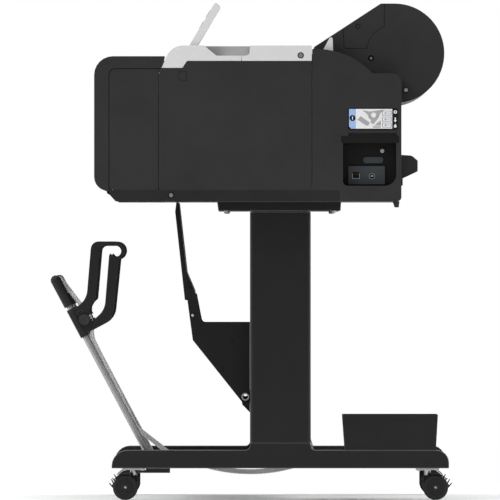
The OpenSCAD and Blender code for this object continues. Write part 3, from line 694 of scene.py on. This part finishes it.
def cloth_place(i, x, out=0.0):
    """A place on the hung cloth: station i along it, x across, and out of its inner face, in millimetres."""
    here, distance = CLOTH_LINE[i]
    t = distance / CLOTH_LENGTH
    free = max(0.0, math.sin(math.pi * min(max((t - 0.13) / 0.74, 0), 1))) ** 0.7
    edge = 1 - (abs(x) / CLOTH_HALF) ** 4
    wave = (0.8 * math.sin(x / 71 + 2.1 * math.sin(t * 5)) + 0.45 * math.sin(x / 31 + 1.3 + t * 9)
            + 0.2 * math.sin(x / 17 + t * 23))
    droop = 1.2 * edge * math.exp(-((t - 0.62) / 0.16) ** 2)
    lift = free * wave * (0.2 + 0.8 * edge) - droop
    place = here + (lift + out) * cloth_normal(i)
    return Vector((x, place.x, place.y)) * MM


def sew_to_basket(made):
    """Bakes the object's placement into its mesh; the whole piece hangs still."""
    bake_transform(made)


def make_cloth():
    """The hung sheet with its two hems and its stitches, in place of both plain cloth solids."""
    across = [CLOTH_HALF * (2 * i / 96 - 1) for i in range(97)]
    bm = bmesh.new()
    flat = bm.loops.layers.uv.new("flat")
    grid = [[bm.verts.new(cloth_place(i, x)) for x in across] for i in range(len(CLOTH_LINE))]
    for i in range(len(grid) - 1):
        for j in range(len(across) - 1):
            face = bm.faces.new([grid[i][j], grid[i][j + 1], grid[i + 1][j + 1], grid[i + 1][j]])
            spots = [(i, j), (i, j + 1), (i + 1, j + 1), (i + 1, j)]
            for loop, (row, column) in zip(face.loops, spots):
                loop[flat].uv = (across[column] * MM, CLOTH_LINE[row][1] * MM)
            face.smooth = True
    bmesh.ops.solidify(bm, geom=bm.faces[:], thickness=CLOTH_THICK * MM)
    cloth = piece("basket_cloth", bm, "cloth", body=None, smooth=50)
    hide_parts("basket_cloth_front", "basket_cloth_rear")
    sew_to_basket(cloth)
    hems = [cloth_hem(side) for side in (1, -1)]
    hems.append(cloth_stitches())


def cloth_hem(side):
    """The folded side edge: a strip that wraps the edge of the sheet."""
    bm = bmesh.new()
    flat = bm.loops.layers.uv.new("flat")
    section = [
        (HEM, 0.35), (1, 0.45), (-0.7, 0.1), (-0.7, -1.1), (1, -1.5), (HEM, -1.4), (HEM, -0.9), (HEM, -0.15)
    ]
    rows = []
    for i in range(len(CLOTH_LINE)):
        places = [cloth_place(i, side * (CLOTH_HALF - inward), out) for inward, out in section]
        rows.append([bm.verts.new(place) for place in places])
    for i in range(len(rows) - 1):
        for j in range(len(section)):
            k = (j + 1) % len(section)
            face = bm.faces.new([rows[i][j], rows[i][k], rows[i + 1][k], rows[i + 1][j]])
            face.smooth = True
            for loop, (row, column) in zip(face.loops, [(i, j), (i, k), (i + 1, k), (i + 1, j)]):
                loop[flat].uv = (section[column][0] * MM, CLOTH_LINE[row][1] * MM)
    add_face(bm, rows[0], 0)
    add_face(bm, rows[-1], 0)
    made = piece("basket_cloth_hem_" + ("right" if side > 0 else "left"), bm, "hem", body=None)
    sew_to_basket(made)
    return made


def add_stitch(bm, places):
    """One thread lying on the cloth: a four-sided bead from its start to its end."""
    start, end, across, out = places
    thin, thick = 0.12, 0.32
    rings = []
    for share, size in ((0, thin), (0.25, thick), (0.75, thick), (1, thin)):
        rings.append([bm.verts.new(start.lerp(end, share) + (across * u + out * v) * size * MM)
                      for u, v in ((1, 0), (0, 1), (-1, 0), (0, -1))])
    for a, b in zip(rings, rings[1:]):
        add_sides(bm, a, b, 0)
    add_face(bm, rings[0], 0)
    add_face(bm, rings[-1], 0)


def cloth_stitches():
    """Seams along both side hems, on both faces, and across the pockets of the pipe and the rod."""
    bm = bmesh.new()
    right = Vector((1, 0, 0))
    last = len(CLOTH_LINE) - 1
    for side in (1, -1):
        x = side * (CLOTH_HALF - HEM + 3)
        for i in range(last):
            normal = cloth_normal(i)
            out = Vector((0, normal.x, normal.y))
            for lift in (0.55, -1.6):
                start = cloth_place(i, x, lift)
                end = start.lerp(cloth_place(i + 1, x, lift), 0.68)
                add_stitch(bm, (start, end, right, out))
    length = 3.6
    for i in (7, last - 8):
        normal = cloth_normal(i)
        out = Vector((0, normal.x, normal.y))
        along = right.cross(out)
        for k in range(int(2 * (CLOTH_HALF - HEM) / 5.2)):
            x = -CLOTH_HALF + HEM + 2 + 5.2 * k
            add_stitch(bm, (cloth_place(i, x, 0.15), cloth_place(i, x + length, 0.15), along, out))
    made = piece("basket_cloth_stitches", bm, "thread", body=None)
    sew_to_basket(made)
    return made


make_cloth()


# ---- Basket fittings ----

# Where the stacker rod runs, and the places across of the arms and the guide brackets
STACKER = (-354.9, 385.7)
ARM_X = 484
ARM_FACE = ARM_X + 9
ROD_R = 6.8
BRACKET_FACE = 518


def make_stacker_rod():
    """The rod across the arms, its end caps with dark rims, and the slot beside each cap."""
    bm = bmesh.new()
    end = ARM_FACE + 0.2
    chamfer = 0.6
    profile = [(-end, 0), (-end, ROD_R - chamfer), (-end + chamfer, ROD_R)]
    profile += [(-along, radius) for along, radius in reversed(profile)]
    add_turned(bm, profile, (0, *STACKER), steps=32)
    bar = piece("stacker_rod_bar", bm, "pipe", body="basket")
    bm = bmesh.new()
    cap = [(0, 0), (0, 12), (0.7, 12.6), (4.2, 12.6), (5.4, 11.2), (5.4, 7.5), (4.9, 7), (4.9, 0)]
    slot_rim = [(-372.6, 401), (-360.6, 407.2), (-357.2, 402.6), (-369.2, 396.2)]
    slot = [(-371, 400.6), (-360.8, 405.8), (-358.8, 402.8), (-369, 397.6)]
    for side in (1, -1):
        axis = outward(side)
        place = (side * (ARM_FACE + 0.5), *STACKER)
        add_turned(bm, cap, place, axis, steps=40)
        add_washer(bm, 11.6, 13.1, 2.2, 5.1, place, axis, 1)
        for outline, out, tone in ((slot_rim, 0.3, 2), (slot, 0.6, 1)):
            add_prism(bm, outline, *sorted((side * (ARM_FACE - 0.5), side * (ARM_FACE + out))), tone)
    caps = piece("stacker_rod_caps", bm, ["body", "black", "rubber"], body="basket")
    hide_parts("stacker_rod")
    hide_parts("stacker_rod")


make_stacker_rod()


def make_bracket_rivets():
    """Bright rivets with dark washers on the guide brackets, and the clips on the ends of the rear rod."""
    bm = bmesh.new()
    for side in (1, -1):
        axis = outward(side)
        place = (side * BRACKET_FACE, -122.8, 395)
        add_washer(bm, 2.6, 6, -0.2, 0.7, place, axis, 1)
        add_turned(bm, [(0, 2.8), (1.1, 2.8), (1.6, 2.1), (1.8, 0)], place, axis, tone=0)
        add_washer(bm, 8.5, 12.2, -0.2, 1.2, (side * BRACKET_FACE, *ROD), axis, 1)
        for y, z in ((-40, 340), (-60, 280)):
            add_screw(bm, (side * BRACKET_FACE, y, z), 4, axis, 1)
    piece("bracket_rivets", bm, ["zinc", "black"])


make_bracket_rivets()


# ---- Screws, washers and pins of the body ----

def make_side_screws():
    """Cross-recessed heads in dark cups, in the sills, the caps and the connector recess."""
    bm = bmesh.new()
    for side in (1, -1):
        axis = outward(side)
        for y, height in ((-168.6, 13.4), (108.4, 311.8)):
            place = body_place(side * (SIDE - 2), y, height)
            add_washer(bm, 4.4, 6.75, -0.4, 0.5, place, axis, 1)
            add_screw(bm, place, 4.6, axis, 0)
    place = body_place(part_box("port_panel")[0].x / MM, 282.6, 108)
    add_washer(bm, 4.4, 8, -0.2, 0.9, place, RIGHT, 1)
    add_screw(bm, (place[0] + 3.5, place[1], place[2]), 4.8, RIGHT, 0)
    add_turned(bm, [(0, 3.6), (3.6, 3.6)], place, RIGHT, tone=0)
    made = piece("side_screw_heads", bm, ["shaft", "black"])
    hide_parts("side_screws")


make_side_screws()


def make_roll_cover_screws():
    """Sunk screws in both ends of the roll cover, and the dark bushes of its pins."""
    bm = bmesh.new()
    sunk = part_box("roll_cover")[1].x / MM - 2.5
    for side in (1, -1):
        axis = outward(side)
        first = body_place(side * sunk, 231, 374)
        add_washer(bm, 2.9, 5.45, -0.2, 0.9, first, axis, 1)
        add_screw(bm, first, 3.1, axis, 2)
        second = body_place(side * sunk, 258.8, 306)
        add_washer(bm, 2.2, 7.45, -0.2, 0.5, second, axis, 1)
        add_screw(bm, second, 2.4, axis, 0)
        add_washer(bm, 7.5, 9.2, 2.4, 2.9, second, axis, 2)
        add_washer(bm, 3.6, 6.6, 2.3, 2.9, body_place(side * sunk, 333.5, 238), axis, 1)
    piece("roll_cover_screws", bm, ["shaft", "black", "rubber"], body="roll_cover")


make_roll_cover_screws()


def make_stand_bolts():
    """Hexagon bolts under the leg plates, and the caster plate screws."""
    leg_middle = LEG_IN + 35
    caster_ys = (-249.2, 379.7)
    corners = [(x, y) for x in (-19, 19) for y in (-19, 19)]
    bm = bmesh.new()
    for side in (1, -1):
        for y in (-50, 178):
            for x in (-18, 18):
                add_bolt(bm, (side * (leg_middle + x), y, BASE - 20), 10, DOWN)
    piece("stand_bolts", bm, "zinc")
    bm = bmesh.new()
    for side in (1, -1):
        for caster_y in caster_ys:
            for x, y in corners:
                add_screw(bm, (side * leg_middle + x, caster_y + y, 64.2), 3.4, DOWN)
    piece("caster_plate_screws", bm, "zinc")


make_stand_bolts()


# ---- Connectors ----

def make_port_contacts():
    """Gold contacts and a metal rim in the network socket, pins and a ring in the round one, inlet blades."""
    bm = bmesh.new()
    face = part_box("port_panel")[1].x / MM
    gold, metal, pale = range(3)

    def bar(y0, y1, low, high, x0, x1, tone):
        add_prism(bm, rectangle(y0, y1, BASE + low, BASE + high), x0, x1, tone)

    for i in range(8):
        y = 221.9 + 1.27 * i
        bar(y, y + 0.5, 57.6, 58.2, face - 3.9, face - 0.6, gold)
    rim = rectangle(218.4, 234.6, 48.4, 61)
    hole = rectangle(219.3, 233.7, 49.3, 59.6)
    for a, b in ((0, 1), (1, 2), (3, 0)):
        strip = [rim[a], rim[b], hole[b], hole[a]]
        add_prism(bm, [(y, BASE + height) for y, height in strip], face - 0.2, face + 0.5, metal)
    round_y, round_height = 260.5, 54
    add_washer(bm, 5.9, 6.8, -0.2, 0.6, body_place(face, round_y, round_height), RIGHT, metal)
    for y, height in arc((round_y, round_height), 3.2, 20, 160, 4):
        add_turned(bm, [(0, 0.5), (3, 0.5), (3.4, 0)], body_place(face - 4.5, y, height), RIGHT, steps=10,
                   tone=gold)
    bar(257.8, 263.2, 53.4, 54.8, face - 4, face - 1.2, pale)
    for x, height in ((514, 43), (526, 43), (520, 48)):
        low = body_place(x - 2, 322.5, height - 0.8)
        high = body_place(x + 2, 326.4, height + 0.8)
        add_block(bm, low, high, metal)
    piece("connector_contacts", bm, ["gold", "zinc", "white_print"])


make_port_contacts()


# ---- Label on the right rear cover: a pictogram of the roll path, with no lettering ----

def make_label():
    """A dark card with a blue band, a grey drawing, three boxes and three white signs."""
    low_y, high_y = 211.6, 316.6
    low_z, high_z = 794.2, 836.2
    blue_end, white_end = 226.2, 303.8
    black, blue, white, mid = range(4)
    bm = bmesh.new()

    def sticker(outline, layer, tone):
        add_prism(bm, outline, SIDE - 0.2, SIDE + 0.12 + 0.08 * layer, tone)

    sticker(cut_rectangle(low_y - 3, high_y, low_z - 3.8, high_z + 2.6, 4), 0, black)
    band = [(low_y + 4.5, low_z), (blue_end, low_z), (blue_end, high_z), (low_y, high_z), (low_y, low_z + 5)]
    sticker(band, 1, blue)
    sticker(cut_rectangle(blue_end, white_end, low_z, high_z, 0.4), 1, white)
    y, z = (low_y + blue_end) / 2, low_z + 22.6
    sticker(arc((y, z), 6.4, 0, 345, 23), 2, black)
    sticker(rectangle(y - 0.9, y + 0.9, z - 3.4, z + 3.4), 3, white)
    # Grey drawing: the tilted cover, the lever across it, and the roll with its sheet
    z = low_z
    sticker([(229.5, z + 19), (236, z + 27), (256, z + 12.5), (252, z + 6), (246, z + 8)], 2, mid)
    sticker([(240, z + 39.5), (256, z + 36.5), (272, z + 39), (286, z + 40.5), (279, z + 33), (274, z + 22),
             (263, z + 9), (257, z + 14), (251, z + 30)], 2, mid)
    sticker(arc((264, z + 29), 5.4, 0, 340, 17), 3, white)
    sticker([(228, z + 40), (233, z + 42.5), (259, z + 17.5), (256, z + 14.5)], 3, white)
    for k in range(3):
        base = z + 2.2 + 12.8 * k
        sticker(cut_rectangle(282, 302.5, base, base + 10.6, 0.6), 2, mid)
        sticker(cut_rectangle(284, 300.5, base + 1.6, base + 9, 0.4), 3, white)
        sticker(arc((289.5, base + 5.3), 2.4, 0, 330, 11), 4, mid)
        sticker(rectangle(293, 299, base + 4.4, base + 6.2), 4, blue)
    sticker(rectangle(262, 279.5, z + 2, z + 5), 2, mid)
    sticker([(266, z + 6.5), (279.5, z + 6.5), (279.5, z + 18), (273, z + 13)], 2, mid)
    # White signs on the black band: a roll, an arrow and a drop
    y = 310.3
    sticker(arc((y, z + 35.5), 3.6, 0, 345, 23), 1, white)
    sticker(arc((y, z + 35.5), 1.6, 0, 330, 11), 2, black)
    sticker([(y - 1.3, z + 24), (y + 1.3, z + 24), (y + 1.3, z + 18), (y + 3.3, z + 18), (y, z + 13.5),
             (y - 3.3, z + 18), (y - 1.3, z + 18)], 1, white)
    sticker([(y, z + 10.5)] + arc((y, z + 5), 3, 20, -200, 12), 1, white)
    piece("pictogram_label", bm, ["black", "blue_print", "white_print", "grey_print"])


make_label()


# ---- Operation panel ----

TILT = math.radians(59)
PANEL_HINGE = body_place(0, -121, 316.7)
DISPLAY_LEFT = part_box("panel_shell")[0].x / MM + 10
DISPLAY_WIDE = 108


def on_panel(x, along, out):
    """A place in the panel's own axes: along it from its lower edge, and out of the display."""
    return (x, PANEL_HINGE[1] + along * math.cos(TILT) - out * math.sin(TILT),
            PANEL_HINGE[2] + along * math.sin(TILT) + out * math.cos(TILT))


def make_screen():
    """The lit display: a status bar, five level bars, a roll and three round keys, all without lettering."""
    bm = bmesh.new()
    glass_out = 15.8
    dark, dim, blue, lit, white = range(5)

    def tile(u0, u1, v0, v1, layer, tone):
        cut = min(0.8, (u1 - u0) / 4, (v1 - v0) / 4)
        outline = cut_rectangle(DISPLAY_LEFT + u0, DISPLAY_LEFT + u1, v0, v1, cut)
        add_plate(bm, outline, on_panel, glass_out - 0.1, glass_out + 0.04 * layer, tone)

    tile(5, 103, 32, 100, 1, dark)
    tile(7, 101, 91, 98, 2, dim)
    for k in range(5):
        left = 11 + 9 * k
        tile(left, left + 6, 44, 86, 2, dim)
        tile(left + 0.8, left + 5.2, 44.8, 56 + (37 * (k + 1)) % 26, 3, (blue, lit, white)[k % 3])
    tile(60, 98, 64, 86, 2, dim)
    roll = (DISPLAY_LEFT + 79, 75)
    add_plate(bm, arc(roll, 7.5, 0, 345, 23), on_panel, glass_out, glass_out + 0.12, white)
    add_plate(bm, arc(roll, 2.2, 0, 330, 11), on_panel, glass_out, glass_out + 0.16, dark)
    for k in range(3):
        tile(60 + 13.4 * k, 71 + 13.4 * k, 46, 57, 2, lit)
    for k in range(4):
        tile(9 + k * 5, 12 + k * 5, 93, 96, 3, white)
    tile(12, 96, 36, 39, 2, dim)
    piece("display_picture", bm, ["screen", "screen_grey", "blue_print", "icon", "white_print"],
          body="operation_panel")


def make_panel_signs():
    """The power and stop signs on the round keys, the status lights and the rim of the display."""
    key_x = SIDE - 34
    key_top = 16.8
    for name, along in (("power_button", 88), ("stop_button", 60)):
        bm = bmesh.new()

        def stroke(outline):
            moved = [(key_x + u, along + v) for u, v in outline]
            add_plate(bm, moved, on_panel, key_top - 0.1, key_top + 0.12, 0)

        if name == "power_button":
            outer = arc((0, -0.6), 3.9, 125, 415, 22)
            inner = arc((0, -0.6), 3.1, 415, 125, 22)
            stroke(outer + inner)
            stroke(rectangle(-0.4, 0.4, -0.4, 4.4))
        else:
            stroke([(-3.4, -2.8), (-2.8, -3.4), (3.4, 2.8), (2.8, 3.4)])
            stroke([(-3.4, 2.8), (-2.8, 3.4), (-0.2, 0.75), (-0.75, 0.2)])
            stroke([(0.2, -0.75), (0.75, -0.2), (3.4, -2.8), (2.8, -3.4)])
        piece(name + "_sign", bm, "white_print", body=name)
    bm = bmesh.new()
    for u0, u1 in ((-8, -3), (3, 8)):
        add_plate(bm, rectangle(key_x + u0, key_x + u1, 35, 37.4), on_panel, 15.7, 16.3, 0)
    x0, x1 = DISPLAY_LEFT, DISPLAY_LEFT + DISPLAY_WIDE
    v0, v1 = 28, 104
    rim = 1.2
    for sides in ((x0 - rim, x1 + rim, v0 - rim, v0), (x0 - rim, x1 + rim, v1, v1 + rim),
                  (x0 - rim, x0, v0, v1), (x1, x1 + rim, v0, v1)):
        add_plate(bm, rectangle(*sides), on_panel, 15.8, 16.25, 1)
    piece("panel_trim", bm, ["icon", "dark"], body="operation_panel")


make_screen()
make_panel_signs()


# ---- Casters ----

def add_wheel(bm, centre, side):
    """One wheel: a grooved tread, a ribbed disc and an axle cap; side points to its outer face."""
    axis = outward(side)
    profile = [(-7.6, 3.1), (-7.6, 24), (-6.6, 26), (-5.2, 26.9)]
    for groove in (-3.4, 0, 3.4):
        profile += [(groove - 0.5, 26.95), (groove - 0.3, 26.2), (groove + 0.3, 26.2), (groove + 0.5, 26.95)]
    profile += [(5.2, 26.9), (6.6, 26), (7.6, 24), (7.7, 21.2), (7.2, 20.6), (7.2, 19.4), (5.4, 18.6)]
    profile += [(5.4, 9), (7.4, 8.2), (7.7, 7.4), (7.7, 5.4), (7.1, 4.8), (7.1, 3.1)]
    add_turned(bm, profile, centre, axis, steps=64, tone=0)
    turn = Vector(axis).to_track_quat("X", "Z").to_matrix()
    rib = [(-0.9, 8), (0.9, 8), (1.3, 18.9), (-1.3, 18.9)]
    for k in range(6):
        spin = turn @ Matrix.Rotation(math.radians(60 * k), 3, "X")
        add_plate(bm, rib, lambda u, v, out: Vector(centre) + spin @ Vector((out, u, v)), 5.2, 6.9, 1)


def make_wheels():
    """Two wheels and their axle on every caster."""
    axle = [(0, 0), (0, 3), (23.2, 3), (24, 2.2), (24, 0)]
    for row in ("front", "rear"):
        for side_name in ("right", "left"):
            name = row + "_" + side_name
            low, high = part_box("wheels_" + name)
            centre = (low + high) / 2 / MM
            bm = bmesh.new()
            for side in (1, -1):
                add_wheel(bm, (centre.x + side * 16.3, centre.y, centre.z), side)
                add_turned(bm, axle, tuple(centre), outward(side), tone=2)
            made = piece("caster_wheels_" + name, bm, ["tyre", "dark", "shaft"], body="wheels_" + name)
            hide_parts("wheels_" + name)


make_wheels()


# ---- Inside: belt, encoder strip, rear grille ----

def make_carriage_drive():
    """The toothed belt over the rail with its pulleys, and the clear encoder strip beside it."""
    half = 548
    belt_t = 1.2
    tooth = 0.7
    runs = (30, 44)
    bm = bmesh.new()
    for y in runs:
        add_block(bm, body_place(-half, y, 297.6), body_place(half, y + belt_t, 303.6), 0)
        inner = y + belt_t if y == runs[0] else y - tooth
        for k in range(180):
            x = -half + 6.1 * k
            add_block(bm, body_place(x, inner, 297.8), body_place(x + 2.6, inner + tooth, 303.4), 0)
    pulley = [
        (0, 0), (0, 8.4), (0.9, 8.4), (0.9, 6.6), (7, 6.6), (7, 8.4), (7.9, 8.4), (7.9, 2), (9, 2), (9, 0)
    ]
    for side in (1, -1):
        add_turned(bm, pulley, body_place(side * half, sum(runs) / 2 + belt_t / 2, 296.6), UP, tone=1)
    piece("carriage_belt", bm, ["rubber", "zinc"])
    bm = bmesh.new()
    add_block(bm, body_place(-half, 20, 297), body_place(half, 20.4, 304), 0)
    for k in range(5):
        x = -half + 20 + 260 * k
        add_block(bm, body_place(x, 19, 296.2), body_place(x + 16, 21.6, 299.4), 1)
    piece("encoder_strip", bm, ["icon", "dark"])


def make_rear_grille():
    """Two slatted air outlets on the rear wall."""
    bm = bmesh.new()
    wall = 322
    sunk = wall - 0.5
    wide = 220
    post = 4
    for x0 in (-470, 250):
        x1 = x0 + wide
        for k in range(9):
            base = BASE + 70 + 9 * k
            slat = [(sunk, base), (wall + 2.2, base + 1.2), (wall + 2.2, base + 2.4), (sunk, base + 5)]
            add_prism(bm, slat, x0, x1, 0)
        for x in (x0 - post, x1):
            add_block(bm, body_place(x, sunk, 64), body_place(x + post, wall + 2.6, 156), 0)
        add_block(bm, body_place(x0 + 108, sunk, 66), body_place(x0 + 112, wall + 1.6, 154), 1)
    piece("rear_grilles", bm, ["body", "dark"], bevel=0.4)


make_carriage_drive()
make_rear_grille()
